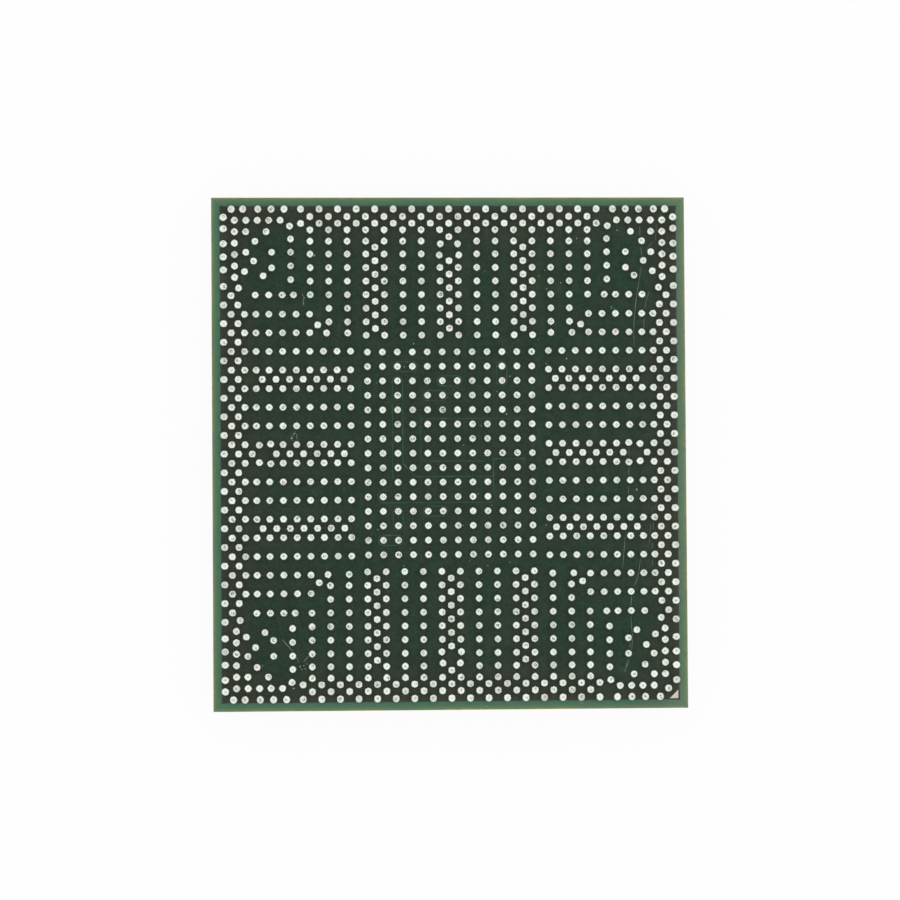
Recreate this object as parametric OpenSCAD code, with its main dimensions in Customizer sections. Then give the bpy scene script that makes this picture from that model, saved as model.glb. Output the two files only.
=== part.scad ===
// Flip-chip ball grid array package with 1170 balls on 25 x 27 mm.
// It lies on the bare back of its die, with the ball side up. X runs across the package and Y
// along it, and the pin-one corner is at +X, -Y. The origin is under the middle of the die.

/* [Package] */
// Size of the substrate along X
package_w = 25; // [24:0.5:30]
// Size of the substrate along Y
package_l = 27; // [26:0.5:32]
// Thickness of the glass-fibre core
core_t = 0.7; // [0.4:0.05:1.2]
// Thickness of the build-up on each side of the core
buildup_t = 0.11; // [0.06:0.01:0.2]
// Thickness of the outer copper on each side
copper_t = 0.018; // [0.012:0.001:0.03]
// Thickness of the solder mask over the copper
mask_t = 0.022; // [0.015:0.001:0.03]
// Bare rim between the copper planes and the edges of the substrate
plane_inset = 0.45; // [0.3:0.01:0.46]
// Width of the slots that split the ball-side plane
slot_w = 0.06; // [0.04:0.01:0.08]

/* [Solder balls] */
// Least distance between neighbouring balls, which sets the scale of the ball map
ball_pitch = 0.6; // [0.58:0.005:0.61]
// Largest diameter of a ball
ball_d = 0.46; // [0.4:0.01:0.5]
// Diameter of a ball where it fills the opening in the mask
ball_neck_d = 0.37; // [0.3:0.01:0.38]
// Gap round the solder in the opening
neck_gap = 0.01; // [0.005:0.005:0.02]
// Diameter of the copper land under a ball
land_d = 0.43; // [0.41:0.01:0.45]
// Gap between a land and the copper plane round it
land_gap = 0.03; // [0.02:0.01:0.05]

/* [Pin-one mark] */
// Short sides of the bare triangle
mark_leg = 0.47; // [0.3:0.01:0.6]
// Distance from the triangle to the edges of the substrate
mark_inset = 0.51; // [0.5:0.01:0.56]
// Width of a bare land's border that the mask covers
land_lap = 0.02; // [0.01:0.01:0.03]

/* [Die] */
// Size of the die along X
die_w = 9.3; // [8:0.1:11]
// Size of the die along Y
die_l = 10.9; // [9:0.1:12.5]
// Thickness of the die
die_t = 0.78; // [0.6:0.01:0.9]
// Gap between the die and the solder mask, which the bumps span
bump_h = 0.07; // [0.05:0.01:0.1]
// Diameter of a bump
bump_d = 0.12; // [0.08:0.01:0.2]
// Distance between bumps
bump_pitch = 0.6; // [0.5:0.05:1]
// Reach of the underfill's foot beyond the die
underfill_reach = 0.7; // [0.5:0.05:1]
// Height that the underfill climbs up the sides of the die
underfill_climb = 0.5; // [0.3:0.05:0.55]

/* [Chip capacitors] */
// Length over the end caps
cap_l = 1; // [0.8:0.05:1.2]
// Width over the end caps
cap_w = 0.5; // [0.4:0.05:0.6]
// Height over the end caps
cap_h = 0.42; // [0.3:0.02:0.5]
// Length of an end cap
cap_end_l = 0.25; // [0.15:0.05:0.3]
// Thickness of the metal of an end cap
cap_end_t = 0.015; // [0.01:0.005:0.02]
// Gap between the mask and a capacitor
cap_lift = 0.02; // [0.01:0.005:0.04]
// Foot of the solder in front of an end cap
cap_fillet = 0.18; // [0.1:0.02:0.24]
// Distance from the die to the middle of the capacitors beside it
cap_offset = 2; // [1.8:0.1:2.4]
// Distance between the capacitors in a row
cap_pitch = 2.2; // [1.8:0.1:2.4]

/* [Plated holes] */
// Drilled diameter of the holes through the core
hole_d = 0.25; // [0.15:0.01:0.3]
// Thickness of the copper in a hole
plating_t = 0.025; // [0.015:0.005:0.035]

/* [Hidden] */
$fn = 48;

// Heights of the layers, from the back of the die upwards
mask_die_z = die_t + bump_h;
copper_die_z = mask_die_z + mask_t;
buildup_die_z = copper_die_z + copper_t;
core_z = buildup_die_z + buildup_t;
buildup_ball_z = core_z + core_t;
copper_ball_z = buildup_ball_z + buildup_t;
mask_ball_z = copper_ball_z + copper_t;

plane_w = package_w - 2 * plane_inset;
plane_l = package_l - 2 * plane_inset;
mask_opening_d = ball_neck_d + 2 * neck_gap;
land_opening_d = land_d + 2 * land_gap;
// Height of a ball's middle over the mask
ball_rise = sqrt(pow(ball_d / 2, 2) - pow(ball_neck_d / 2, 2));
// Slack for cutters that pass right through
eps = 0.01;

// ---- Ball map ----
// Every place below is in ball pitches. A side's balls are given by their station along the
// side, counted in steps from its middle, and by their depth in from the edge.

// From a corner of the package to the last whole station of a side
side_run = 7.82;
// Whole stations from the middle of a side to its last one
steps_x = 8;
steps_y = 9;
// Depths of the four edge rows, in turn on whole and on half stations
edge_depths = [1.06, 1.71, 2.3, 2.875];
// Half stations that the innermost edge row fills on each side of the middle
inner_edge_run = 8;
// Depth of the lead row, of the first row of a band, and the distance between band rows
lead_depth = 3.87;
band_depth = 5;
band_row = 1.19;
// Rows that a band has at each half station, from the middle of the side outwards
band_reach_ns = [7, 7, 7, 7, 7, 6, 6, 4];
band_reach_ew = [7, 7, 7, 7, 7, 7, 4, 4];
// Whole stations that hold a line of balls between the band rows, and the balls in a line
line_stations = [-4, 0, 4];
line_length = 6;
// Depths of the ball that leads such a line, in the middle and at the outer stations
line_lead_middle = 3.49;
line_lead_outer = 4.4;
// Clear distance between the bands and the core field, and the balls in that field
core_gap = 1.47;
core_columns = 12;
core_rows = 15;

// Places in a corner are [in from the end of the side, in from the other edge], in pitches
corner_outer = [1.76, 2.76, 4.08, 5.24, 6.38];
corner_outer_pin_one = [2.5, 3.8, 5, 6.28];
corner_second = 2.03;
corner_tip = [2.03, 2.03];
corner_tip_pin_one = [1.775, 1.775];
corner_fan = [
    [3.02, 3.03], [4.8, 3.03], [3.02, 4.83], [3.82, 3.87], [3.7, 5.6], [2.9, 6.52],
    [4.52, 6.9], [5.27, 6.2], [5.27, 4.83], [6.93, 7.24], [6.93, 6.03], [6.93, 4.83],
    [6.93, 3.67], [6.85, 2.54], [7.17, 8.58], [6.17, 8.58], [5, 8.58], [3.82, 8.58],
    [2.37, 7.97], [7.82, 2.31], [11.9, 11.93], [10.05, 11.93], [9.27, 11.21]
];

step_x = (package_w / 2 - side_run * ball_pitch) / steps_x;
step_y = (package_l / 2 - side_run * ball_pitch) / steps_y;
core_inset = (band_depth + (max(band_reach_ns) - 1) * band_row + core_gap) * ball_pitch;
core_w = package_w - 2 * core_inset;
core_l = package_l - 2 * core_inset;
core_pitch_x = core_w / (core_columns - 1);
core_pitch_y = core_l / (core_rows - 1);

// Two neighbours of the middle line stand aside for it: [shift outwards, depth] of each
function lead_balls(k) = k == 0 ? [[-0.05, 4.11], [0.05, 5.1]] : [[0, lead_depth], [0, band_depth]];

// Edge rows of a side, as [along the side from its middle, in from its edge] in millimetres
function edge_rows(step, steps) = [
    for (k = [-steps:steps]) [k * step, edge_depths[0] * ball_pitch],
    for (k = [-steps:steps - 1]) [(k + 0.5) * step, edge_depths[1] * ball_pitch],
    for (k = [1 - steps:steps - 1]) [k * step, edge_depths[2] * ball_pitch],
    for (k = [-inner_edge_run:inner_edge_run - 1]) [(k + 0.5) * step, edge_depths[3] * ball_pitch]
];

// Band of a side: rows on the half stations, with lines of balls between them
function band_rows(step, reach) = [
    for (way = [-1, 1], k = [0:len(reach) - 1], b = lead_balls(k))
        [way * ((k + 0.5) * step + b[0] * ball_pitch), b[1] * ball_pitch],
    for (way = [-1, 1], k = [0:len(reach) - 1], i = [1:reach[k] - 1])
        [way * (k + 0.5) * step, (band_depth + i * band_row) * ball_pitch],
    for (k = line_stations, i = [0:line_length - 1])
        [k * step, (band_depth + (i + 0.5) * band_row) * ball_pitch],
    for (k = line_stations)
        [k * step, (k == 0 ? line_lead_middle : line_lead_outer) * ball_pitch]
];

// Corner of the package, as [in from the X edge, in from the Y edge] in millimetres
function corner_cluster(outer, tip) = ball_pitch * [
    for (s = outer) each [[s, edge_depths[0]], [edge_depths[0], s]],
    for (i = [1:4]) each [[corner_second + i, corner_second], [corner_second, corner_second + i]],
    [corner_second, corner_second + 5],
    tip,
    each corner_fan
];

function on_north(points) = [for (p = points) [p[0], package_l / 2 - p[1]]];
function on_south(points) = [for (p = points) [p[0], p[1] - package_l / 2]];
function on_east(points) = [for (p = points) [package_w / 2 - p[1], p[0]]];
function on_west(points) = [for (p = points) [p[1] - package_w / 2, p[0]]];
function in_corner(points, way_x, way_y) =
    [for (p = points) [way_x * (package_w / 2 - p[0]), way_y * (package_l / 2 - p[1])]];

// Place in the core field, counted in columns and rows from the middle
function core_place(column, row) = [column * core_pitch_x, row * core_pitch_y];

// Places of a grid round the origin, counted in columns and rows from its middle
function grid(columns, rows) = [
    for (i = [0:columns - 1], j = [0:rows - 1]) [i - (columns - 1) / 2, j - (rows - 1) / 2]
];

core_balls = [for (g = grid(core_columns, core_rows)) core_place(g[0], g[1])];
edge_x = edge_rows(step_x, steps_x);
edge_y = edge_rows(step_y, steps_y);
band_x = band_rows(step_x, band_reach_ns);
band_y = band_rows(step_y, band_reach_ew);
corner = corner_cluster(corner_outer, corner_tip);
corner_pin_one = corner_cluster(corner_outer_pin_one, corner_tip_pin_one);
// The bands and the core field stand on the plane itself, the others on lands of their own
plane_balls = concat(
    core_balls, on_north(band_x), on_south(band_x), on_east(band_y), on_west(band_y)
);
land_balls = concat(
    on_north(edge_x), on_south(edge_x), on_east(edge_y), on_west(edge_y),
    in_corner(corner, -1, 1), in_corner(corner, 1, 1), in_corner(corner, -1, -1),
    in_corner(corner_pin_one, 1, -1)
);

// ---- Slots in the ball-side plane ----
// Copper islands that join two neighbouring core balls, as the two places in the core field
islands = [
    [[-4.5, 7], [-3.5, 7]], [[-0.5, 7], [0.5, 7]], [[3.5, 7], [4.5, 7]],
    [[-3.5, 6], [-2.5, 6]], [[-0.5, 5], [0.5, 5]], [[3.5, 6], [3.5, 5]],
    [[-3.5, 5], [-3.5, 4]], [[-1.5, 4], [-0.5, 4]], [[5.5, 5], [5.5, 4]],
    [[-5.5, 2], [-5.5, 1]], [[-5.5, -4], [-4.5, -4]], [[-3.5, -4], [-3.5, -5]],
    [[-1.5, -4], [-0.5, -4]], [[-4.5, -6], [-3.5, -6]], [[-0.5, -6], [-0.5, -7]],
    [[0.5, -6], [0.5, -7]], [[5.5, -5], [5.5, -6]]
];
// Slots between whole regions of the plane, as corners in the core field
splits = [
    [[-3.15, 3.4], [-3.15, -0.7], [-2.35, -1.6], [2.9, -1.6], [2.9, -0.4], [5, -0.4]],
    [[-3.85, 3.4], [-3.85, -1.6], [-3.6, -2]],
    [[5, 2.4], [-1.95, 2.4], [-1.95, -0.3], [-1.7, -0.55], [2.2, -0.55]],
    [[-4.2, -2.25], [-4.85, -2.8], [-4.85, -3.15], [-4.6, -3.4], [2.8, -3.4]],
    [[2.9, -1.6], [2.9, -2.5], [3.1, -3.3]]
];
island_r = land_d / 2 + land_lap;

// ---- Die side ----
bumps = bump_pitch * grid(floor(die_w / bump_pitch) - 1, floor(die_l / bump_pitch) - 1);
bump_hole_d = bump_d + 2 * neck_gap;
// Middle of each chip capacitor, and its turn
capacitors = [
    for (way = [-1, 1], i = [-1.5:1.5]) [way * (die_w / 2 + cap_offset), i * cap_pitch, 90],
    for (way = [-1, 1], i = [-0.5:0.5]) [i * cap_pitch, way * (die_l / 2 + cap_offset), 0]
];
cap_face_z = mask_die_z - cap_lift;
cap_body = [cap_l - 2 * cap_end_t, cap_w - 2 * cap_end_t, cap_h - 2 * cap_end_t];
// Share of a capacitor's height that its solder climbs
solder_climb = 0.6;
// The underfill's hollow slope, as shares of its reach and of its height
underfill_slope = [[1, 0], [0.62, 0.1], [0.34, 0.28], [0.14, 0.58], [0, 1]];

// Flat bar with round ends between two places
module bar_2d(a, b, width) {
    reach = b - a;
    for (p = [a, b]) translate(p) circle(d = width);
    translate(a) rotate(atan2(reach[1], reach[0]))
        translate([0, -width / 2]) square([norm(reach), width]);
}

module discs_2d(points, d) {
    for (p = points) translate(p) circle(d = d);
}

module sheet_2d(w, l) {
    square([w, l], center = true);
}

// Pin-one triangle, grown outwards on all sides
module mark_2d(grow) {
    leg = mark_leg + (2 + sqrt(2)) * grow;
    translate([package_w / 2 - mark_inset + grow, mark_inset - package_l / 2 - grow])
        polygon([[0, 0], [-leg, 0], [0, leg]]);
}

module slots_2d() {
    for (pair = islands) {
        a = core_place(pair[0][0], pair[0][1]);
        b = core_place(pair[1][0], pair[1][1]);
        difference() {
            bar_2d(a, b, 2 * (island_r + slot_w));
            bar_2d(a, b, 2 * island_r);
        }
    }
    for (path = splits, i = [1:len(path) - 1])
        bar_2d(core_place(path[i - 1][0], path[i - 1][1]), core_place(path[i][0], path[i][1]), slot_w);
}

// ---- Substrate ----
module substrate_core() {
    color([0.72, 0.66, 0.45])
        translate([0, 0, core_z]) linear_extrude(core_t) difference() {
            sheet_2d(package_w, package_l);
            discs_2d(core_balls, hole_d);
        }
}

module hole_platings() {
    color([0.75, 0.45, 0.25])
        translate([0, 0, core_z]) linear_extrude(core_t) difference() {
            discs_2d(core_balls, hole_d);
            discs_2d(core_balls, hole_d - 2 * plating_t);
        }
}

module hole_plugs() {
    color([0.85, 0.82, 0.7])
        translate([0, 0, core_z]) linear_extrude(core_t) discs_2d(core_balls, hole_d - 2 * plating_t);
}

// Build-up film with a shallow pocket for the copper plane, on its upper face
module buildup() {
    color([0.62, 0.62, 0.4]) difference() {
        linear_extrude(buildup_t + copper_t) sheet_2d(package_w, package_l);
        translate([0, 0, buildup_t]) linear_extrude(copper_t + eps) sheet_2d(plane_w, plane_l);
    }
}

module buildup_ball_side() translate([0, 0, buildup_ball_z]) buildup();
module buildup_die_side() translate([0, 0, core_z]) mirror([0, 0, 1]) buildup();

module copper_plane_ball_side() {
    color([0.6, 0.4, 0.25])
        translate([0, 0, copper_ball_z]) linear_extrude(copper_t) difference() {
            sheet_2d(plane_w, plane_l);
            discs_2d(land_balls, land_opening_d);
            mark_2d(land_lap + land_gap);
            slots_2d();
        }
}

module ball_lands() {
    color([0.8, 0.55, 0.35])
        translate([0, 0, copper_ball_z]) linear_extrude(copper_t) discs_2d(land_balls, land_d);
}

module pin_one_mark() {
    color([0.85, 0.8, 0.7])
        translate([0, 0, copper_ball_z]) linear_extrude(copper_t) mark_2d(land_lap);
}

module solder_mask_ball_side() {
    color([0.17, 0.24, 0.19])
        translate([0, 0, mask_ball_z]) linear_extrude(mask_t) difference() {
            sheet_2d(package_w, package_l);
            discs_2d(concat(plane_balls, land_balls), mask_opening_d);
            mark_2d(0);
        }
}

// ---- Solder balls ----
// A sphere that fills its opening in the mask and stands on the copper
module ball() {
    rotate_extrude() {
        intersection() {
            translate([0, mask_t + ball_rise]) circle(d = ball_d);
            translate([0, mask_t]) square(ball_d);
        }
        square([ball_neck_d / 2, mask_t]);
    }
}

module balls(points) {
    color([0.86, 0.87, 0.87])
        for (p = points) translate([p[0], p[1], mask_ball_z]) ball();
}

module balls_core() balls(core_balls);
module balls_north_band() balls(on_north(band_x));
module balls_south_band() balls(on_south(band_x));
module balls_east_band() balls(on_east(band_y));
module balls_west_band() balls(on_west(band_y));
module balls_north_edge() balls(on_north(edge_x));
module balls_south_edge() balls(on_south(edge_x));
module balls_east_edge() balls(on_east(edge_y));
module balls_west_edge() balls(on_west(edge_y));
module balls_corner_nw() balls(in_corner(corner, -1, 1));
module balls_corner_ne() balls(in_corner(corner, 1, 1));
module balls_corner_sw() balls(in_corner(corner, -1, -1));
module balls_corner_pin_one() balls(in_corner(corner_pin_one, 1, -1));

// ---- Die and underfill ----
module silicon_die() {
    color([0.35, 0.37, 0.4]) linear_extrude(die_t) sheet_2d(die_w, die_l);
}

module die_bumps() {
    color([0.8, 0.8, 0.8])
        translate([0, 0, die_t]) linear_extrude(bump_h + mask_t) discs_2d(bumps, bump_d);
}

// Section of the underfill beyond the die, hanging from the mask
module underfill_2d() {
    height = bump_h + underfill_climb;
    polygon(concat([[0, 0]], [for (s = underfill_slope) [s[0] * underfill_reach, -s[1] * height]]));
}

module underfill() {
    color([0.25, 0.22, 0.18]) {
        translate([0, 0, die_t]) linear_extrude(bump_h) difference() {
            sheet_2d(die_w, die_l);
            discs_2d(bumps, bump_d);
        }
        for (turn = [0, 180]) rotate(turn) translate([0, 0, mask_die_z]) {
            translate([die_w / 2, 0, 0])
                rotate([90, 0, 0]) linear_extrude(die_l, center = true) underfill_2d();
            translate([0, die_l / 2, 0]) rotate(90)
                rotate([90, 0, 0]) linear_extrude(die_w, center = true) underfill_2d();
            translate([die_w / 2, die_l / 2, 0]) rotate_extrude(angle = 90) underfill_2d();
            translate([-die_w / 2, die_l / 2, 0]) rotate(90) rotate_extrude(angle = 90) underfill_2d();
        }
    }
}

// ---- Die-side copper, mask and chip capacitors ----
// The two lands of every capacitor, grown on all sides
module capacitor_pads_2d(grow) {
    for (c = capacitors, way = [0, 180])
        translate([c[0], c[1]]) rotate(c[2] + way)
            translate([cap_l / 2 - cap_end_l - grow, -cap_w / 2 - grow])
                square([cap_end_l + cap_fillet + 2 * grow, cap_w + 2 * grow]);
}

module copper_plane_die_side() {
    color([0.6, 0.4, 0.25])
        translate([0, 0, copper_die_z]) linear_extrude(copper_t) difference() {
            sheet_2d(plane_w, plane_l);
            capacitor_pads_2d(neck_gap + land_lap + land_gap);
        }
}

module capacitor_lands() {
    color([0.8, 0.55, 0.35])
        translate([0, 0, copper_die_z]) linear_extrude(copper_t)
            capacitor_pads_2d(neck_gap + land_lap);
}

module solder_mask_die_side() {
    color([0.17, 0.24, 0.19])
        translate([0, 0, mask_die_z]) linear_extrude(mask_t) difference() {
            sheet_2d(package_w, package_l);
            discs_2d(bumps, bump_hole_d);
            capacitor_pads_2d(neck_gap);
        }
}

module at_capacitors() {
    for (c = capacitors) translate([c[0], c[1], cap_face_z]) rotate(c[2]) children();
}

module capacitor_body() {
    translate([0, 0, -cap_h / 2]) cube(cap_body, center = true);
}

module capacitor_bodies() {
    color([0.6, 0.5, 0.4]) at_capacitors() capacitor_body();
}

module capacitor_end_caps() {
    color([0.8, 0.8, 0.78]) at_capacitors() difference() {
        for (way = [-1, 1])
            translate([way * (cap_l - cap_end_l) / 2, 0, -cap_h / 2])
                cube([cap_end_l, cap_w, cap_h], center = true);
        capacitor_body();
    }
}

module capacitor_solder() {
    lift = cap_lift + mask_t;
    color([0.82, 0.83, 0.83])
        at_capacitors() for (way = [0, 180]) rotate(way)
            translate([cap_l / 2, 0, 0]) rotate([90, 0, 0]) linear_extrude(cap_w, center = true)
                polygon([
                    [-cap_end_l, 0], [-cap_end_l, lift], [cap_fillet, lift],
                    [cap_fillet, cap_lift], [cap_fillet / 3, -cap_h * solder_climb / 3],
                    [0, -cap_h * solder_climb], [0, 0]
                ]);
}

solder_mask_ball_side();
copper_plane_ball_side();
ball_lands();
pin_one_mark();
buildup_ball_side();
substrate_core();
hole_platings();
hole_plugs();
buildup_die_side();
copper_plane_die_side();
solder_mask_die_side();
silicon_die();
die_bumps();
underfill();
capacitor_lands();
capacitor_bodies();
capacitor_end_caps();
capacitor_solder();
balls_core();
balls_north_band();
balls_south_band();
balls_east_band();
balls_west_band();
balls_north_edge();
balls_south_edge();
balls_east_edge();
balls_west_edge();
balls_corner_nw();
balls_corner_ne();
balls_corner_sw();
balls_corner_pin_one();
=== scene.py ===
import math

import bmesh
import bpy
import numpy as np
from mathutils import Euler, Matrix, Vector
from mathutils.geometry import delaunay_2d_cdt


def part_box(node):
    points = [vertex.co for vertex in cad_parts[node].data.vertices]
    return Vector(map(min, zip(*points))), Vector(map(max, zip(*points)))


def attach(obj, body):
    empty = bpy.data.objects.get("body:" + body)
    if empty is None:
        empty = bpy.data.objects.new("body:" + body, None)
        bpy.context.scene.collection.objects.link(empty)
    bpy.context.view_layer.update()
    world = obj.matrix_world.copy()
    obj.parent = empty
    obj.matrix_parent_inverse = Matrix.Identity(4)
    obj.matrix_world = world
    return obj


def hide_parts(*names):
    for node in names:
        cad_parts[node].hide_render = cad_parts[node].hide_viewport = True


# Looks of a flip-chip ball grid array package that lies on its die, with the ball side up.
# Lengths are in metres, as in the frame, and MM turns millimetres into them.
MM = 0.001
BODY = "root"

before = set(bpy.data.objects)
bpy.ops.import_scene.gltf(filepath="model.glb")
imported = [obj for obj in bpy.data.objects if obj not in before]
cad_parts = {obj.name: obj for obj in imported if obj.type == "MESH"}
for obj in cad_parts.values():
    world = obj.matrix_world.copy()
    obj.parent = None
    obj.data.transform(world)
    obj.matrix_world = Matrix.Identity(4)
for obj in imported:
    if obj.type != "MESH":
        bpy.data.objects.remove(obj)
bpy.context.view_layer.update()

BALL_NODES = sorted(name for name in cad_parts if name.startswith("balls_"))


# ---- Measures taken from the frame ----

def points_of(node):
    """All the vertices of a CAD node, one row each."""
    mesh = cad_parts[node].data
    co = np.empty(len(mesh.vertices) * 3, np.float32)
    mesh.vertices.foreach_get("co", co)
    return co.reshape(-1, 3).astype(float)


def ball_centres(points):
    """Middle of each ball, seen from above: its highest point lies over it."""
    tops = points[points[:, 2] > points[:, 2].max() - 1e-7]
    return np.unique(tops[:, :2].round(6), axis=0)


ball_points = {name: points_of(name) for name in BALL_NODES}
centres = {name: ball_centres(ball_points[name]) for name in BALL_NODES}
all_centres = np.concatenate([centres[name] for name in BALL_NODES])


def widest(points, middles):
    """Greatest distance of any point from the nearest middle along X, at the +X end."""
    return points[:, 0].max() - middles[:, 0].max()


core_points = ball_points["balls_core"]
ball_top = core_points[:, 2].max()
ball_foot = core_points[:, 2].min()
ball_r = widest(core_points, centres["balls_core"])
neck_r = widest(core_points[core_points[:, 2] < ball_foot + 1e-7], centres["balls_core"])
ball_mid = ball_top - ball_r

mask_low, mask_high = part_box("solder_mask_ball_side")
mask_top = mask_high.z
plane_low, plane_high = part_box("copper_plane_ball_side")
mark_low, mark_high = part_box("pin_one_mark")
half_w, half_l = mask_high.x, mask_high.y
plane_x, plane_y = plane_high.x, plane_high.y


# ---- Mesh helpers ----

def new_piece(name, vertices, faces, replaced=(), smooth=True):
    """A mesh object that rides on the part, in place of any CAD nodes that it replaces."""
    mesh = bpy.data.meshes.new(name)
    mesh.from_pydata(vertices, [], faces)
    mesh.update()
    mesh.polygons.foreach_set("use_smooth", [smooth] * len(mesh.polygons))
    piece = bpy.data.objects.new(name, mesh)
    bpy.context.scene.collection.objects.link(piece)
    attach(piece, BODY)
    if replaced:
        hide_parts(*replaced)
    return piece


def paint(piece, name, colours):
    """Keeps one colour for each vertex under that attribute name."""
    layer = piece.data.attributes.new(name, "FLOAT_COLOR", "POINT")
    rgba = np.ones((len(colours), 4), np.float32)
    rgba[:, :3] = colours
    layer.data.foreach_set("color", rgba.ravel())


def dress(piece, *materials):
    piece.data.materials.clear()
    for material in materials:
        piece.data.materials.append(material)


# ---- Materials ----

def linear(r, g, b):
    """Scene-linear colour of an sRGB colour given in 0..255."""
    def channel(c):
        c /= 255
        return c / 12.92 if c <= 0.04045 else ((c + 0.055) / 1.055) ** 2.4
    return (channel(r), channel(g), channel(b), 1.0)


class Finish:
    """A Principled material that is built up node by node."""

    def __init__(self, name, metallic=0.0, roughness=0.5, specular=0.5):
        self.material = bpy.data.materials.new(name)
        self.material.use_nodes = True
        self.nodes = self.material.node_tree.nodes
        self.links = self.material.node_tree.links
        self.shader = self.nodes["Principled BSDF"]
        self.shader.inputs["Metallic"].default_value = metallic
        self.shader.inputs["Roughness"].default_value = roughness
        self.shader.inputs["Specular IOR Level"].default_value = specular
        self.place = self.nodes.new("ShaderNodeTexCoord").outputs["Object"]

    def join(self, value, socket):
        """Links an output to a socket, or sets the socket to a constant."""
        if isinstance(value, bpy.types.NodeSocket):
            self.links.new(value, socket)
        else:
            socket.default_value = value

    def stretched(self, scale):
        node = self.nodes.new("ShaderNodeMapping")
        node.inputs["Scale"].default_value = scale
        self.links.new(self.place, node.inputs["Vector"])
        return node.outputs["Vector"]

    def noise(self, size, detail=3.0, roughness=0.5, distortion=0.0, stretch=None):
        """Noise from 0 to 1, with features of about that size in metres."""
        node = self.nodes.new("ShaderNodeTexNoise")
        node.inputs["Scale"].default_value = 1 / size
        node.inputs["Detail"].default_value = detail
        node.inputs["Roughness"].default_value = roughness
        node.inputs["Distortion"].default_value = distortion
        self.links.new(self.stretched(stretch) if stretch else self.place, node.inputs["Vector"])
        return node.outputs["Fac"]

    def math(self, operation, a, b=0.0):
        node = self.nodes.new("ShaderNodeMath")
        node.operation = operation
        self.join(a, node.inputs[0])
        self.join(b, node.inputs[1])
        return node.outputs["Value"]

    def ramp(self, value, stops):
        """Colour ramp through (position, colour) stops."""
        node = self.nodes.new("ShaderNodeValToRGB")
        elements = node.color_ramp.elements
        while len(elements) < len(stops):
            elements.new(0.5)
        for element, (position, colour) in zip(elements, stops):
            element.position = position
            element.color = colour
        self.links.new(value, node.inputs["Fac"])
        return node.outputs["Color"]

    def window(self, value, low, high):
        """0 below low, 1 above high, and a smooth rise between them."""
        node = self.nodes.new("ShaderNodeMapRange")
        node.interpolation_type = "SMOOTHSTEP"
        node.inputs["From Min"].default_value = low
        node.inputs["From Max"].default_value = high
        self.links.new(value, node.inputs["Value"])
        return node.outputs["Result"]

    def mix(self, factor, a, b, blend="MIX"):
        node = self.nodes.new("ShaderNodeMix")
        node.data_type = "RGBA"
        node.blend_type = blend
        self.join(factor, node.inputs["Factor"])
        self.join(a, node.inputs["A"])
        self.join(b, node.inputs["B"])
        return node.outputs["Result"]

    def attribute(self, name):
        node = self.nodes.new("ShaderNodeAttribute")
        node.attribute_name = name
        return node.outputs["Color"]

    def colour(self, value):
        self.join(value, self.shader.inputs["Base Color"])

    def roughness(self, value):
        self.join(value, self.shader.inputs["Roughness"])

    def bump(self, height, depth, strength=1.0):
        """Relief of that depth in metres from a height that runs from 0 to 1."""
        node = self.nodes.new("ShaderNodeBump")
        node.inputs["Strength"].default_value = strength
        node.inputs["Distance"].default_value = depth
        self.links.new(height, node.inputs["Height"])
        self.links.new(node.outputs["Normal"], self.shader.inputs["Normal"])
        return self


def solder_finish(name, painted):
    """Bright reflowed solder, with faint grain between its dendrites."""
    f = Finish(name, metallic=1.0)
    grain = f.noise(0.035 * MM, detail=4, roughness=0.6)
    tarnish = f.window(f.noise(0.5 * MM, detail=2), 0.45, 0.75)
    base = f.attribute("tint") if painted else linear(222, 224, 224)
    shade = f.mix(tarnish, base, linear(196, 190, 182), "MULTIPLY")
    f.colour(f.mix(0.35, base, shade))
    f.roughness(f.math("ADD", f.math("MULTIPLY", grain, 0.12), 0.12))
    return f.bump(grain, 0.0012 * MM, 0.6).material


def mask_finish(name):
    """Green solder mask over copper: painted warm or cool, with painted sheen that lightens the +X
    side, mottled, with an orange-peel skin.
    """
    f = Finish(name, specular=0.2)
    mottle = f.window(f.noise(0.7 * MM, detail=5, roughness=0.62), 0.3, 0.72)
    fine = f.noise(0.09 * MM, detail=3, roughness=0.7)
    toned = f.mix(mottle, linear(196, 208, 198), linear(255, 252, 250))
    base = f.mix(1.0, f.attribute("tint"), toned, "MULTIPLY")
    smear = f.window(f.noise(0.9 * MM, detail=6, roughness=0.7, distortion=1.2), 0.56, 0.74)
    base = f.mix(f.math("MULTIPLY", smear, 0.35), base, linear(70, 88, 76))
    f.colour(f.mix(f.math("MULTIPLY", f.window(fine, 0.3, 0.7), 0.38), base, linear(58, 80, 68)))
    f.roughness(f.math("ADD", f.math("MULTIPLY", mottle, 0.1), 0.34))
    return f.bump(fine, 0.004 * MM, 0.5).material


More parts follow.
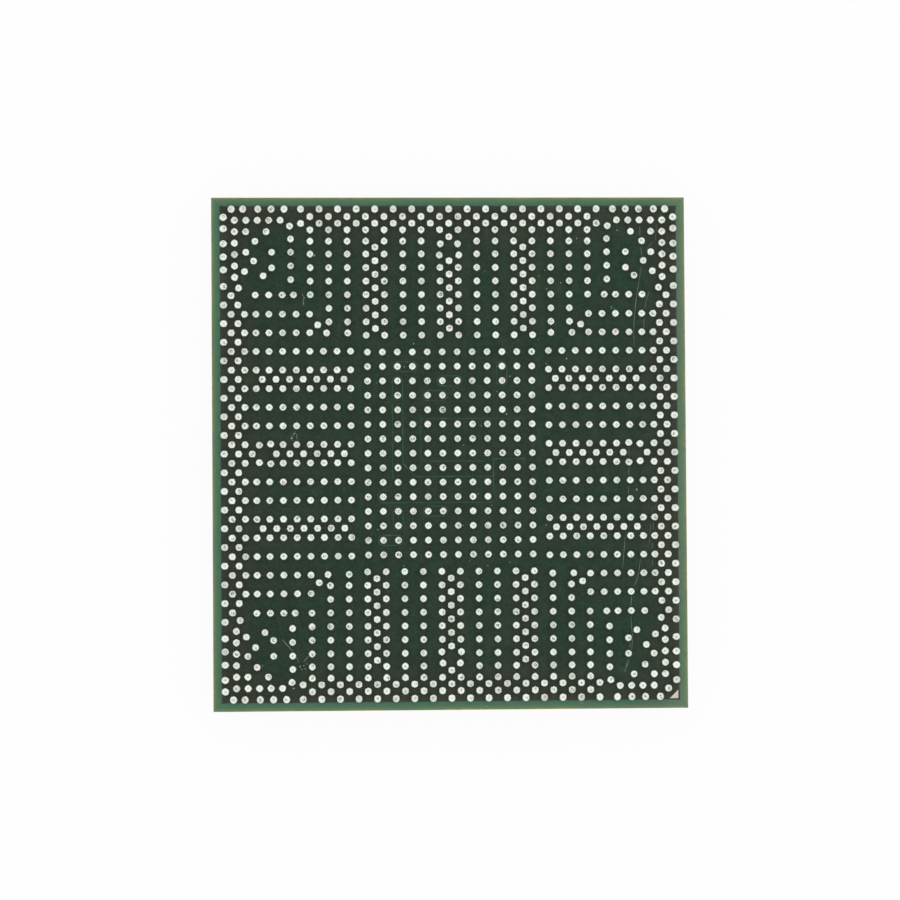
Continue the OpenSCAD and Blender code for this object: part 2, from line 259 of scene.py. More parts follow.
def rim_finish(name):
    """The same mask over bare laminate: teal, olive where it thins out at the cut edge, and paler
    towards the +X side as painted sheen.
    """
    f = Finish(name, specular=0.2)
    split = f.nodes.new("ShaderNodeSeparateXYZ")
    f.links.new(f.place, split.inputs["Vector"])
    to_x = f.math("SUBTRACT", half_w, f.math("ABSOLUTE", split.outputs["X"]))
    to_y = f.math("SUBTRACT", half_l, f.math("ABSOLUTE", split.outputs["Y"]))
    wander = f.math("MULTIPLY", f.math("SUBTRACT", f.noise(1.6 * MM, detail=3), 0.5), 0.14 * MM)
    inwards = f.math("ADD", f.math("MINIMUM", to_x, to_y), wander)
    span = 0.7 * MM
    body = f.ramp(f.math("DIVIDE", inwards, span), [
        (0.0, linear(158, 152, 84)),
        (0.06, linear(112, 130, 88)),
        (0.15, linear(94, 122, 82)),
        (0.3, linear(78, 114, 87)),
        (0.55, linear(67, 109, 84)),
        (0.75, linear(54, 86, 68)),
        (1.0, linear(52, 84, 68)),
    ])
    # Painted sheen: the rim turns paler towards the +X edge, standing in for light that falls from
    # that side
    painted_sheen_east = f.math("MULTIPLY", f.window(split.outputs["X"], 0.8 * half_w, half_w), 0.18)
    body = f.mix(painted_sheen_east, body, linear(150, 150, 124))
    # Over a slot the copper's tone comes back in places
    faint = f.math("MULTIPLY", f.window(f.noise(0.8 * MM, detail=4), 0.35, 0.65), 0.55)
    deep = f.window(f.math("MINIMUM", to_x, to_y), 0.5 * MM, 0.6 * MM)
    body = f.mix(f.math("MULTIPLY", faint, deep), body, linear(44, 62, 52))
    blotch = f.window(f.noise(0.45 * MM, detail=5, roughness=0.6, distortion=0.6), 0.5, 0.68)
    body = f.mix(f.math("MULTIPLY", blotch, 0.55), body, linear(92, 108, 104))
    fine = f.noise(0.1 * MM, detail=4, roughness=0.7)
    pale = f.window(fine, 0.6, 0.72)
    f.colour(f.mix(f.math("MULTIPLY", pale, 0.35), body, linear(104, 146, 120)))
    f.roughness(0.4)
    return f.bump(fine, 0.005 * MM, 0.6).material


def laminate_finish(name, resin, glass, thread):
    """Sawn laminate: pale glass threads that run along the edge in a darker resin."""
    f = Finish(name, roughness=0.62, specular=0.4)
    threads = f.noise(thread, detail=4, roughness=0.6, stretch=(0.18, 0.18, 1.0))
    saw = f.noise(0.03 * MM, detail=2, stretch=(1.0, 1.0, 0.15))
    body = f.ramp(f.window(threads, 0.32, 0.68), [(0.0, resin), (0.55, resin), (1.0, glass)])
    f.colour(f.mix(f.math("MULTIPLY", saw, 0.3), body, linear(90, 84, 56)))
    return f.bump(f.math("ADD", threads, f.math("MULTIPLY", saw, 0.5)), 0.006 * MM).material


def plain_finish(name, dark, light, size, roughness, depth, metallic=0.0):
    """A surface that wanders between two near colours, with relief of its own grain."""
    f = Finish(name, metallic=metallic)
    grain = f.noise(size, detail=5, roughness=0.6)
    broad = f.noise(8 * size, detail=3)
    f.colour(f.ramp(f.math("MULTIPLY", f.math("ADD", grain, broad), 0.5), [
        (0.3, dark), (0.7, light),
    ]))
    f.roughness(f.math("ADD", f.math("MULTIPLY", broad, 0.15), roughness - 0.07))
    return f.bump(grain, depth).material


def silicon_finish(name):
    """Ground back of the die: fine crossing grinding arcs on dark, glossy silicon."""
    f = Finish(name, roughness=0.28, specular=0.6)
    arcs = []
    for turn in (0.5, -0.7):
        wave = f.nodes.new("ShaderNodeTexWave")
        wave.wave_type = "RINGS"
        wave.rings_direction = "Z"
        wave.inputs["Scale"].default_value = 1 / (0.5 * MM)
        wave.inputs["Distortion"].default_value = 1.5
        mapping = f.nodes.new("ShaderNodeMapping")
        mapping.inputs["Location"].default_value = (turn * 30 * MM, 20 * MM, 0)
        f.links.new(f.place, mapping.inputs["Vector"])
        f.links.new(mapping.outputs["Vector"], wave.inputs["Vector"])
        arcs.append(wave.outputs["Fac"])
    lines = f.math("MULTIPLY", arcs[0], arcs[1])
    dust = f.noise(0.2 * MM, detail=5)
    f.colour(f.ramp(f.math("ADD", f.math("MULTIPLY", lines, 0.35), f.math("MULTIPLY", dust, 0.6)), [
        (0.2, linear(62, 66, 72)), (0.8, linear(104, 108, 114)),
    ]))
    return f.bump(lines, 0.0015 * MM, 0.5).material


# ---- Solder balls ----

# Angle from the top of each ring of a ball's mesh, in degrees, down to where the neck starts
RING_ANGLES = (5.5, 11, 16.5, 22, 28, 36, 46, 58, 72, 90, 108)
BALL_SIDES = 20


def ball_profile():
    """(radius, height over the ball's middle) of each ring, from the top to the foot."""
    neck_angle = math.pi - math.asin(neck_r / ball_r)
    angles = [math.radians(a) for a in RING_ANGLES] + [neck_angle]
    rings = [(ball_r * math.sin(a), ball_r * math.cos(a)) for a in angles]
    return np.array(rings + [(neck_r, ball_foot - ball_mid)])


def ball_faces(rings):
    """Faces of one ball: a fan at the top and the foot, and bands of quads between them."""
    n = BALL_SIDES
    faces = []
    for k in range(n):
        after = (k + 1) % n
        faces.append((0, 1 + k, 1 + after))
        for ring in range(rings - 1):
            a, b = 1 + ring * n, 1 + (ring + 1) * n
            faces.append((a + k, b + k, b + after, a + after))
        last = 1 + (rings - 1) * n
        faces.append((1 + rings * n, last + after, last + k))
    return faces


# Distance from a probe mark's middle to the dull patch that some marks have beside them
PATCH_REACH = 0.07 * MM
# How much stronger the marks are on the balls of the core field
CORE_MARKS = 1.3


def probe_mark(x, y, rng, strength):
    """Depth and darkness, at points near a ball's top, of the mark that a test socket leaves."""
    middle = rng.normal(0, 0.016 * MM, 2)
    mark_r = rng.uniform(0.04, 0.085) * MM
    width = rng.uniform(0.013, 0.028) * MM
    lobes = rng.choice([1, 2, 3], p=[0.6, 0.25, 0.15])
    turn, lean = rng.uniform(0, 2 * math.pi, 2)
    force = strength * rng.beta(0.8, 1.1)
    reach = np.hypot(x - middle[0], y - middle[1])
    angle = np.arctan2(y - middle[1], x - middle[0])
    ring = np.exp(-((reach - mark_r) / width) ** 2)
    share = ring * np.clip(0.55 + 0.65 * np.cos(lobes * (angle - turn)), 0, 1)
    # A patch beside the ring that stayed dull
    gap = np.hypot(
        x - middle[0] - PATCH_REACH * math.cos(lean), y - middle[1] - PATCH_REACH * math.sin(lean))
    patch = np.exp(-(gap / (0.045 * MM)) ** 2) * (rng.random() < 0.4) * rng.uniform(0.3, 1)
    floor = np.exp(-(reach / (1.3 * mark_r)) ** 4) * rng.choice([0, 0.2, 0.7], p=[0.55, 0.3, 0.15])
    depth = force * (0.016 * MM * share + 0.004 * MM * floor)
    return depth, np.clip(force * (1.3 * share + 0.5 * floor) + 0.9 * patch, 0, 1)


# Colour casts that a ball's top may have, and how often; the first is plain solder
CASTS = (
    ((0.825, 0.885, 0.825), 0.66),
    ((0.86, 0.79, 0.78), 0.14),
    ((0.72, 0.84, 0.76), 0.12),
    ((0.82, 0.82, 0.64), 0.06),
    ((0.78, 0.82, 0.84), 0.02),
)


def make_balls(name, rng):
    """All the balls of one CAD node, each with a mark and a tint of its own."""
    profile = ball_profile()
    rings = len(profile)
    turns = np.arange(BALL_SIDES) * 2 * math.pi / BALL_SIDES
    x = np.concatenate([[0], np.outer(profile[:, 0], np.cos(turns)).ravel(), [0]])
    y = np.concatenate([[0], np.outer(profile[:, 0], np.sin(turns)).ravel(), [0]])
    z = np.concatenate([[ball_r], np.repeat(profile[:, 1], BALL_SIDES), [profile[-1, 1]]])
    casts = np.array([c for c, _ in CASTS])
    odds = [share for _, share in CASTS]
    vertices, tints = [], []
    for cx, cy in centres[name]:
        depth, dark = probe_mark(x, y, rng, CORE_MARKS if name == "balls_core" else 1.0)
        above = np.clip(z / ball_r, 0, 1)
        cast = casts[rng.choice(len(casts), p=odds)]
        lean = rng.normal(0, 0.03 * MM, 2)
        share = np.exp(-(np.hypot(x - lean[0], y - lean[1]) / (0.11 * MM)) ** 4)[:, None]
        tone = (casts[0] * (1 - share) + cast * share) * (1.04 - 0.3 * rng.beta(0.8, 2.4))
        vertices.append(np.stack([x + cx, y + cy, z + ball_mid - depth * above], axis=1))
        tints.append(tone * (1 - 0.85 * dark * above)[:, None])
    faces = ball_faces(rings)
    count = len(x)
    every = [tuple(i + k * count for i in face) for k in range(len(vertices)) for face in faces]
    piece = new_piece("solder_" + name, np.concatenate(vertices).tolist(), every, (name,))
    paint(piece, "tint", np.clip(np.concatenate(tints), 0, 1))
    return piece


# ---- Ball-side solder mask ----

MASK_SIDES = 24
# Drop of the mask's surface where there is no copper under it
MASK_DIP = 0.6 * (plane_high.z - plane_low.z)
# Share of that drop at the lips of a slot, which are narrow
LIP_SHARE = 0.8
# Width of the slope at the edge of the copper plane
STEP = 0.04 * MM
# Spacing of the loose points that carry the mask's colour, and how far each may stray
GRID = 0.17 * MM
STRAY = 0.3
# Gap between a ball's neck and its opening, and between an opening and the loose points
NECK_GAP = 0.01 * MM
POINT_GAP = 0.05 * MM
# Least distance between two points of a slot's outline
SLOT_GAP = 0.035 * MM
# How far the mask covers the pin-one mark along its edges
MARK_LAP = 0.02 * MM


def place_key(place):
    """The X and Y of a place, rounded so that equal places compare equal."""
    return round(place[0] / MM, 4), round(place[1] / MM, 4)


def edge_loops(node, level):
    """Closed outlines of a CAD node's flat face at that height, as arrays of points."""
    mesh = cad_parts[node].data
    co = points_of(node)
    flat = {}
    edges = set()
    keys = [place_key(p) for p in co]
    on_level = np.abs(co[:, 2] - level) < 1e-7
    for polygon in mesh.polygons:
        ids = polygon.vertices
        if all(on_level[i] for i in ids):
            for i, j in zip(ids, list(ids[1:]) + [ids[0]]):
                a, b = keys[i], keys[j]
                flat[a], flat[b] = co[i][:2], co[j][:2]
                if (b, a) in edges:
                    edges.remove((b, a))
                else:
                    edges.add((a, b))
    onwards = dict(edges)
    loops = []
    while onwards:
        key, following = onwards.popitem()
        loop = [key]
        while following in onwards:
            loop.append(following)
            following = onwards.pop(following)
        loops.append(np.array([flat[k] for k in loop]))
    return loops


def thinned(loop, gap):
    """The loop without points that lie closer than gap to the one kept before."""
    kept = [loop[0]]
    for point in loop[1:]:
        if math.dist(point, kept[-1]) > gap:
            kept.append(point)
    return np.array(kept)


def within(loop, low, high):
    """Whether an outline lies wholly inside that box, seen from above."""
    return np.all((loop > np.array(low)[:2]) & (loop < np.array(high)[:2]))


def inside_loops(points, loops):
    """Whether each point lies inside an odd number of the loops."""
    odd = np.zeros(len(points), bool)
    for loop in loops:
        near = np.all((points > loop.min(0)) & (points < loop.max(0)), axis=1)
        p = points[near]
        a, b = loop, np.roll(loop, -1, axis=0)
        crosses = (a[None, :, 1] > p[:, None, 1]) != (b[None, :, 1] > p[:, None, 1])
        rise = np.where(b[:, 1] == a[:, 1], 1e-12, b[:, 1] - a[:, 1])
        at_x = a[None, :, 0] + (p[:, None, 1] - a[None, :, 1]) * (b - a)[None, :, 0] / rise[None, :]
        odd[near] ^= (crosses & (p[:, None, 0] < at_x)).sum(axis=1) % 2 == 1
    return odd


def rectangle(x, y):
    return np.array([(-x, -y), (x, -y), (x, y), (-x, y)])


def near_balls(points, reach):
    """Sum over the balls of a bell curve of that reach, at each point."""
    total = np.zeros(len(points))
    for start in range(0, len(points), 2000):
        block = points[start:start + 2000]
        gap = np.hypot(block[:, None, 0] - all_centres[:, 0], block[:, None, 1] - all_centres[:, 1])
        total[start:start + 2000] = np.exp(-(gap / reach) ** 2).sum(axis=1)
    return total


def nearest_ball(points):
    found = np.empty(len(points))
    for start in range(0, len(points), 2000):
        block = points[start:start + 2000]
        gap = np.hypot(block[:, None, 0] - all_centres[:, 0], block[:, None, 1] - all_centres[:, 1])
        found[start:start + 2000] = gap.min(axis=1)
    return found


def opening_loops(radius):
    turns = np.arange(MASK_SIDES) * 2 * math.pi / MASK_SIDES
    ring = radius * np.stack([np.cos(turns), np.sin(turns)], axis=1)
    return [c + ring for c in all_centres]


def triangulate(loops, extra):
    """Triangles over loops and extra points: (points, faces)."""
    points, edges = [], []
    for loop in loops:
        base, n = len(points), len(loop)
        points += [Vector(p) for p in loop]
        edges += [(base + k, base + (k + 1) % n) for k in range(n)]
    points += [Vector(p) for p in extra]
    found = delaunay_2d_cdt(points, edges, [], 0, 1e-8)
    return np.array([tuple(p) for p in found[0]]), np.array(found[2])


def make_mask():
    """The mask with its openings, lower over the bare rim and along the slots."""
    opening_r = neck_r + NECK_GAP
    openings = opening_loops(opening_r)
    outline = rectangle(half_w, half_l)
    step_high = rectangle(plane_x - STEP / 2, plane_y - STEP / 2)
    step_low = rectangle(plane_x + STEP / 2, plane_y + STEP / 2)
    short = mark_high.x - mark_low.x - (2 + math.sqrt(2)) * MARK_LAP
    corner = np.array([mark_high.x - MARK_LAP, mark_low.y + MARK_LAP])
    mark = np.array([corner, corner - [short, 0], corner + [0, short]])[::-1]
    core_low, core_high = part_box("balls_core")
    slots = [
        thinned(s, SLOT_GAP) for s in edge_loops("copper_plane_ball_side", plane_high.z)
        if within(s, core_low, core_high)]
    rng = np.random.default_rng(7)
    grid = np.stack(np.meshgrid(
        np.arange(-half_w + GRID / 2, half_w, GRID), np.arange(-half_l + GRID / 2, half_l, GRID),
    ), axis=-1).reshape(-1, 2)
    grid = grid + rng.uniform(-STRAY, STRAY, grid.shape) * GRID
    in_step = (np.abs(np.abs(grid) - [plane_x, plane_y]) < STEP).any(axis=1)
    off_edge = (np.abs(grid) > [half_w - STRAY * GRID, half_l - STRAY * GRID]).any(axis=1)
    clear = nearest_ball(grid) > opening_r + POINT_GAP
    grid = grid[clear & ~in_step & ~off_edge]

    def solid_part(loops, extra):
        points, faces = triangulate(loops, extra)
        middle = points[faces].mean(axis=1)
        kept = nearest_ball(middle) > opening_r * math.cos(math.pi / MASK_SIDES)
        kept &= ~inside_loops(middle, [mark])
        return points, faces[kept], middle[kept]

    rims = openings + [outline, mark]
    top, top_faces, top_middle = solid_part(rims + [step_high, step_low] + slots, grid)
    low, low_faces, _ = solid_part(rims, [])

    # Height of the upper surface: down beyond the plane, and half down at the lips of a slot
    beyond = np.max(np.abs(top) - [plane_x, plane_y], axis=1)
    drop = MASK_DIP * np.clip(beyond / STEP + 0.5, 0, 1)
    if slots:
        lips = {place_key(p) for p in np.concatenate(slots)}
        on_lip = np.array([place_key(p) in lips for p in top])
        drop = np.maximum(drop, LIP_SHARE * MASK_DIP * on_lip)
    upper = np.column_stack([top, mask_top - drop])
    lower = np.column_stack([low, np.full(len(low), mask_low.z)])

    # Walls between matching points of the two surfaces, on the outline and in the openings
    upper_key = {place_key(p): k for k, p in enumerate(top)}
    lower_key = {place_key(p): k for k, p in enumerate(low)}
    lift = len(upper)
    walls = []
    for loop in openings + [outline[::-1], mark[::-1]]:
        ids = [place_key(p) for p in loop]
        for a, b in zip(ids, ids[1:] + ids[:1]):
            walls.append((upper_key[a], upper_key[b], lift + lower_key[b], lift + lower_key[a]))
    low_turned = low_faces[:, ::-1] + lift
    faces = top_faces.tolist() + low_turned.tolist() + walls
    piece = new_piece(
        "solder_mask_top", np.concatenate([upper, lower]).tolist(), faces,
        ("solder_mask_ball_side",), smooth=False)

    # Which faces lie over bare laminate
    bare = (np.abs(top_middle) > [plane_x, plane_y]).any(axis=1) | inside_loops(top_middle, slots)
    kinds = np.zeros(len(faces), np.int32)
    kinds[:len(bare)] = bare
    dress(piece, mask_over_copper, mask_over_laminate)
    piece.data.polygons.foreach_set("material_index", kinds)

    # Warmer between close balls and along the plane's edge, cooler in the free lanes, and lighter
    # towards +X as painted sheen
    places = np.concatenate([top, low])
    crowd = near_balls(places, 0.75 * MM)
    inwards = np.min([half_w, half_l] - np.abs(places), axis=1)
    warm = np.clip((crowd - 1.6) / 2.6, 0, 1) * 0.6
    warm += 0.75 * np.exp(-np.clip(inwards - 0.45 * MM, 0, None) / (0.55 * MM))
    warm += rng.normal(0, 0.1, len(warm))
    warm = np.clip(warm, 0, 1)[:, None]
    cool_tone = np.array(linear(14, 54, 37)[:3])
    warm_tone = np.array(linear(66, 60, 48)[:3])
    # Painted sheen: up to a tenth lighter towards +X and darker towards -X, standing in for light
    # that falls from the +X side
    sheen_gain_eastwards = 1 + 0.1 * places[:, :1] / half_w
    paint(piece, "tint", (cool_tone * (1 - warm) + warm_tone * warm) * sheen_gain_eastwards)
    return piece


# ---- Scratches and specks on the mask ----

# Scratches, each as its width and the points it passes, in millimetres
SCRATCHES = (
    (0.035, ((9.47, 0.45), (9.45, -1.2), (9.4, -2.8), (9.22, -4.6), (9.08, -6.1))),
    (0.045, ((10.3, -3.4), (10.1, -5.0), (9.9, -6.5), (9.6, -7.3), (9.5, -8.6), (9.57, -9.9),
             (9.4, -10.9), (9.12, -11.6))),
    (0.03, ((9.48, -9.9), (9.3, -10.9), (9.2, -11.5))),
    (0.03, ((11.0, -2.2), (10.8, -3.2), (10.68, -4.6), (10.66, -6.0))),
    (0.025, ((10.7, -2.9), (10.6, -3.7), (10.5, -4.9))),
    (0.04, ((10.15, 12.45), (10.15, 11.2), (10.22, 10.4), (10.15, 9.5), (9.98, 8.5), (9.85, 7.5),
            (9.78, 6.4), (9.8, 5.6))),
    (0.035, ((10.62, 8.5), (10.42, 7.9), (10.33, 7.0), (10.3, 6.5))),
    (0.03, ((10.82, 11.15), (10.5, 10.75))),
    (0.03, ((11.35, 12.75), (11.05, 12.1), (10.98, 11.2))),
    (0.065, ((-8.87, -9.74), (-8.6, -10.05), (-8.27, -10.42))),
    (0.05, ((-8.16, -10.55), (-8.1, -10.75), (-8.03, -10.95))),
    (0.055, ((-7.46, -10.55), (-7.62, -10.74), (-7.78, -10.93))),
    (0.05, ((-7.74, 8.45), (-7.7, 8.34), (-7.58, 8.18))),
    (0.06, ((-7.64, 8.24), (-7.68, 8.03), (-7.65, 7.8))),
    (0.05, ((-8.14, 1.22), (-8.2, 1.04), (-8.36, 0.83), (-8.24, 0.66))),
    (0.045, ((-8.17, 1.12), (-8.04, 0.98), (-8.09, 0.86), (-7.96, 0.7))),
    (0.06, ((6.62, -13.06), (6.8, -13.13), (6.96, -13.3))),
    (0.04, ((6.74, -13.2), (6.84, -13.14), (6.9, -13.07))),
    (0.05, ((1.58, -13.42), (1.72, -13.37), (1.86, -13.29), (1.92, -13.42))),
)
SCRATCH_H = 0.003 * MM

# Specks of dust and residue, as X, Y and width in millimetres
PALE_SPECKS = (
    (-7.12, 10.45, 0.14), (4.76, 9.34, 0.07), (5.93, 8.98, 0.08), (5.08, 9.64, 0.06),
    (6.77, 11.33, 0.09), (1.9, 9.62, 0.07), (5.17, 8.66, 0.07), (-1.88, 5.78, 0.07),
    (0.2, 3.34, 0.06), (-2.38, 4.56, 0.07), (3.19, 4.04, 0.07), (3.0, 2.05, 0.09),
    (0.7, 0.42, 0.06), (5.12, 4.7, 0.08), (4.7, 5.98, 0.06), (2.5, 3.24, 0.06),
    (-3.84, -4.0, 0.07), (-2.48, -5.92, 0.06), (-2.1, -5.02, 0.06), (1.46, -2.16, 0.06),
    (2.2, -2.76, 0.06), (0.68, -3.8, 0.07), (1.96, -5.92, 0.06), (1.0, -5.64, 0.05),
    (3.12, -5.76, 0.06), (5.04, -3.82, 0.07), (9.87, -1.97, 0.1), (8.94, 11.75, 0.09),
    (-8.33, 0.82, 0.1), (-8.2, 1.06, 0.09), (-8.3, -12.3, 0.1), (-7.95, -11.16, 0.1),
    (-7.76, -11.12, 0.09), (-7.6, -11.02, 0.07), (-7.86, -11.3, 0.06), (-7.68, -11.28, 0.07),
    (-7.68, 7.9, 0.08), (6.2, 4.97, 0.09),
)
TEAL_SPECKS = (
    (-3.84, 3.72, 0.13), (3.62, 5.94, 0.12), (1.66, 1.44, 0.13), (-9.93, -11.1, 0.16),
    (8.6, 7.66, 0.2), (8.76, 7.62, 0.14), (0.02, -9.85, 0.14), (-0.2, 1.85, 0.12),
)


def smooth_route(points, per_leg=8):
    """Points along a Catmull-Rom curve through the given ones."""
    p = np.array(points)
    p = np.concatenate([[2 * p[0] - p[1]], p, [2 * p[-1] - p[-2]]])
    route = []
    for a, b, c, d in zip(p, p[1:], p[2:], p[3:]):
        for t in np.arange(per_leg) / per_leg:
            route.append(0.5 * (2 * b + (c - a) * t + (2 * a - 5 * b + 4 * c - d) * t * t
                                + (3 * b - a - 3 * c + d) * t ** 3))
    return np.array(route + [p[-2]])


def add_ridge(route, width, vertices, faces):
    """A low ridge with a three-cornered section along the route, pointed at both ends."""
    base = len(vertices)
    count = len(route)
    along = np.gradient(route, axis=0)
    along /= np.linalg.norm(along, axis=1)[:, None]
    across = np.stack([-along[:, 1], along[:, 0]], axis=1)
    for k, (point, side) in enumerate(zip(route, across)):
        swell = 0.12 + 0.88 * math.sin(math.pi * (k + 0.5) / count) ** 0.5
        bare = abs(point[0]) > plane_x or abs(point[1]) > plane_y
        level = mask_top - (MASK_DIP if bare else 0)
        for offset, height in ((-0.5, -0.5), (0.5, -0.5), (0, 1.0)):
            x, y = point + side * offset * width * swell
            vertices.append((x, y, level + height * SCRATCH_H * swell))
    for k in range(count - 1):
        a, b = base + 3 * k, base + 3 * (k + 1)
        for i in range(3):
            j = (i + 1) % 3
            faces.append((a + i, a + j, b + j, b + i))
    faces.append((base + 2, base + 1, base))
    end = base + 3 * (count - 1)
    faces.append((end, end + 1, end + 2))


def make_scratches():
    vertices, faces = [], []
    for width, points in SCRATCHES:
        route = smooth_route(points) * MM
        clear = nearest_ball(route) > ball_r
        start = 0
        for k in range(len(route) + 1):
            if k == len(route) or not clear[k]:
                if k - start > 2:
                    add_ridge(route[start:k], width * MM, vertices, faces)
                start = k + 1
    return new_piece("mask_scratches", vertices, faces, smooth=False)


def make_specks(name, specks, rng):
    """Small lumps that sit on the mask, none of them quite round."""
    vertices, faces = [], []
    sides, rings = 9, ((0.5, 0.0), (0.42, 0.16), (0.24, 0.27))
    for x, y, width in specks:
        base = len(vertices)
        wobble = 1 + rng.uniform(-0.3, 0.3, sides)
        stretch = rng.uniform(0.7, 1.2, 2)
        for radius, height in rings:
            for k in range(sides):
                angle = 2 * math.pi * k / sides
                reach = radius * width * wobble[k]
                vertices.append((
                    (x + reach * stretch[0] * math.cos(angle)) * MM,
                    (y + reach * stretch[1] * math.sin(angle)) * MM,
                    mask_top - SCRATCH_H + height * min(width, 0.1) * MM,
                ))
        for ring in range(len(rings) - 1):
            for k in range(sides):
                after = (k + 1) % sides
                a, b = base + ring * sides, base + (ring + 1) * sides
                faces.append((a + k, a + after, b + after, b + k))
        faces.append(tuple(base + sides - 1 - k for k in range(sides)))
        last = base + (len(rings) - 1) * sides
        faces.append(tuple(last + k for k in range(sides)))
    return new_piece(name, vertices, faces)


# ---- Pieces of the die side ----

def softened(node, name, width, segments=2):
    """A copy of a CAD node with its edges rounded, which stands for the node."""
    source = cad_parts[node].data
    b = bmesh.new()
    b.from_mesh(source)
    bmesh.ops.remove_doubles(b, verts=b.verts, dist=0.0005 * MM)
    bmesh.ops.dissolve_limit(b, angle_limit=math.radians(1), verts=b.verts, edges=b.edges)
    sharp = [e for e in b.edges if e.is_manifold and e.calc_face_angle() > math.radians(25)]
    bmesh.ops.bevel(
        b, geom=sharp, offset=width, segments=segments, profile=0.5, affect="EDGES",
        clamp_overlap=True)
    bmesh.ops.recalc_face_normals(b, faces=b.faces)
    mesh = bpy.data.meshes.new(name)
    b.to_mesh(mesh)
    b.free()
    mesh.polygons.foreach_set("use_smooth", [False] * len(mesh.polygons))
    piece = bpy.data.objects.new(name, mesh)
    bpy.context.scene.collection.objects.link(piece)
    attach(piece, BODY)
    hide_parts(node)
    return piece


# ---- Assembly ----

solder = solder_finish("solder_marked", painted=True)
plain_solder = solder_finish("solder_plain", painted=False)
mask_over_copper = mask_finish("mask_over_copper")
mask_over_laminate = rim_finish("mask_over_laminate")

for index, ball_node in enumerate(BALL_NODES):
    dress(make_balls(ball_node, np.random.default_rng(100 + index)), solder)

make_mask()

dress(make_scratches(), plain_finish(
    "scratched_mask", linear(86, 96, 86), linear(132, 142, 130), 0.05 * MM, 0.5, 0.002 * MM))
speck_rng = np.random.default_rng(21)
dress(make_specks("pale_specks", PALE_SPECKS, speck_rng), plain_finish(
    "pale_dust", linear(120, 128, 120), linear(190, 196, 186), 0.05 * MM, 0.5, 0.003 * MM))
dress(make_specks("teal_specks", TEAL_SPECKS, speck_rng), plain_finish(
    "teal_residue", linear(34, 84, 72), linear(60, 116, 98), 0.06 * MM, 0.4, 0.003 * MM))

CARRIED = {
    "pin_one_mark": plain_finish(
        "pale_plating", linear(196, 190, 176), linear(228, 224, 212), 0.07 * MM, 0.42, 0.004 * MM,
        metallic=0.35),
    "substrate_core": laminate_finish(
        "laminate_edge", linear(116, 118, 76), linear(178, 172, 126), 0.06 * MM),
    "buildup_ball_side": laminate_finish(
        "buildup_edge", linear(92, 102, 64), linear(130, 136, 92), 0.04 * MM),
    "buildup_die_side": laminate_finish(
        "buildup_edge_low", linear(92, 102, 64), linear(130, 136, 92), 0.04 * MM),
    "solder_mask_die_side": plain_finish(
        "mask_die_side", linear(26, 58, 40), linear(44, 82, 58), 0.09 * MM, 0.36, 0.004 * MM),
    "underfill": plain_finish(
        "cured_underfill", linear(30, 27, 22), linear(58, 52, 44), 0.08 * MM, 0.38, 0.006 * MM),
}
for copper_node in ("copper_plane_ball_side", "ball_lands", "copper_plane_die_side",
                    "capacitor_lands", "hole_platings"):
    CARRIED[copper_node] = plain_finish(
        "copper_" + copper_node, linear(150, 96, 62), linear(196, 134, 92), 0.04 * MM, 0.38,
        0.003 * MM, metallic=0.9)
CARRIED["hole_plugs"] = plain_finish(
    "plug_resin", linear(196, 190, 166), linear(222, 216, 196), 0.04 * MM, 0.6, 0.004 * MM)
CARRIED["die_bumps"] = plain_solder
CARRIED["capacitor_solder"] = plain_solder
for carried_node, finish in CARRIED.items():
    dress(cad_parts[carried_node], finish)

dress(
    softened("silicon_die", "silicon_die_ground", 0.012 * MM), silicon_finish("silicon"))
dress(softened("capacitor_bodies", "capacitor_ceramic", 0.03 * MM), plain_finish(
    "ceramic_brown", linear(112, 86, 62), linear(148, 118, 88), 0.03 * MM, 0.45, 0.003 * MM))
dress(softened("capacitor_end_caps", "capacitor_tinned_ends", 0.006 * MM), plain_finish(
    "tin_plating", linear(176, 176, 172), linear(212, 212, 208), 0.03 * MM, 0.4, 0.003 * MM,
    metallic=1.0))


# ---- Floor, light and camera ----

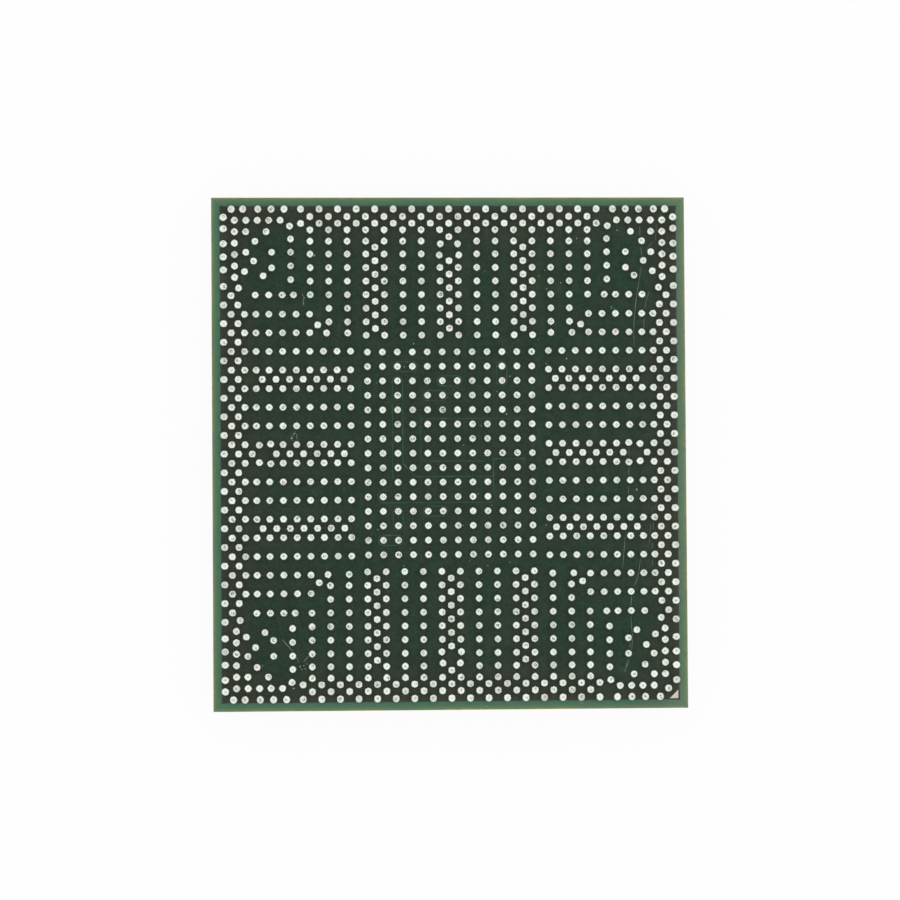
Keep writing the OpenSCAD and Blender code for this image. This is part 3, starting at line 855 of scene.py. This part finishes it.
def make_floor():
    """A white floor that keeps the part's soft shadow."""
    size = 3.0
    mesh = bpy.data.meshes.new("floor")
    corners = [(x, y, 0) for x, y in rectangle(size, size)]
    mesh.from_pydata(corners, [], [(0, 1, 2, 3)])
    floor = bpy.data.objects.new("floor", mesh)
    bpy.context.scene.collection.objects.link(floor)
    material = bpy.data.materials.new("white_floor")
    material.use_nodes = True
    nodes, links = material.node_tree.nodes, material.node_tree.links
    diffuse = nodes["Principled BSDF"]
    diffuse.inputs["Base Color"].default_value = (0.9, 0.9, 0.9, 1)
    diffuse.inputs["Roughness"].default_value = 0.9
    glow = nodes.new("ShaderNodeEmission")
    seen = nodes.new("ShaderNodeLightPath")
    camera_or_glossy = nodes.new("ShaderNodeMath")
    camera_or_glossy.operation = "MAXIMUM"
    any_seen = nodes.new("ShaderNodeMath")
    any_seen.operation = "MAXIMUM"
    share = nodes.new("ShaderNodeMath")
    share.operation = "MULTIPLY"
    share.inputs[1].default_value = 0.93
    blend = nodes.new("ShaderNodeMixShader")
    links.new(seen.outputs["Is Camera Ray"], camera_or_glossy.inputs[0])
    links.new(seen.outputs["Is Glossy Ray"], camera_or_glossy.inputs[1])
    links.new(camera_or_glossy.outputs[0], any_seen.inputs[0])
    links.new(seen.outputs["Is Transmission Ray"], any_seen.inputs[1])
    links.new(any_seen.outputs[0], share.inputs[0])
    links.new(share.outputs[0], blend.inputs["Fac"])
    links.new(diffuse.outputs["BSDF"], blend.inputs[1])
    links.new(glow.outputs["Emission"], blend.inputs[2])
    links.new(blend.outputs["Shader"], nodes["Material Output"].inputs["Surface"])
    mesh.materials.append(material)


def make_world():
    """Even white surroundings, dimmer straight overhead, where the camera looks down from."""
    world = bpy.data.worlds.new("studio")
    bpy.context.scene.world = world
    world.use_nodes = True
    nodes, links = world.node_tree.nodes, world.node_tree.links
    direction = nodes.new("ShaderNodeTexCoord").outputs["Generated"]
    split = nodes.new("ShaderNodeSeparateXYZ")
    level = nodes.new("ShaderNodeValToRGB")
    # Sine of the height over the horizon, and the brightness there
    stops = (
        (0.0, 0.35), (0.14, 0.85), (0.3, 1.12), (0.6, 1.12), (0.79, 0.96), (0.93, 0.84),
        (1.0, 0.84))
    elements = level.color_ramp.elements
    while len(elements) < len(stops):
        elements.new(0.5)
    for element, (height, value) in zip(elements, stops):
        element.position = height
        element.color = (value, value, value, 1)
    links.new(direction, split.inputs["Vector"])
    links.new(split.outputs["Z"], level.inputs["Fac"])
    links.new(level.outputs["Color"], nodes["Background"].inputs["Color"])


def make_camera():
    """Looks down from 0.2 m with a slight tilt, as a camera on a copy stand does."""
    data = bpy.data.cameras.new("camera")
    data.lens = 151.9
    data.sensor_width = 36
    data.clip_start = 0.005
    data.clip_end = 20
    camera = bpy.data.objects.new("camera", data)
    bpy.context.scene.collection.objects.link(camera)
    turn = Euler((math.radians(1.85), math.radians(-3.57), math.radians(-0.39)))
    aim = Vector((-0.002 * MM, 0.167 * MM, mask_top))
    camera.rotation_euler = turn
    camera.location = aim + turn.to_matrix() @ Vector((0, 0, 0.2))
    bpy.context.scene.camera = camera


make_floor()
make_world()
make_camera()
bpy.context.scene.view_settings.view_transform = "Standard"
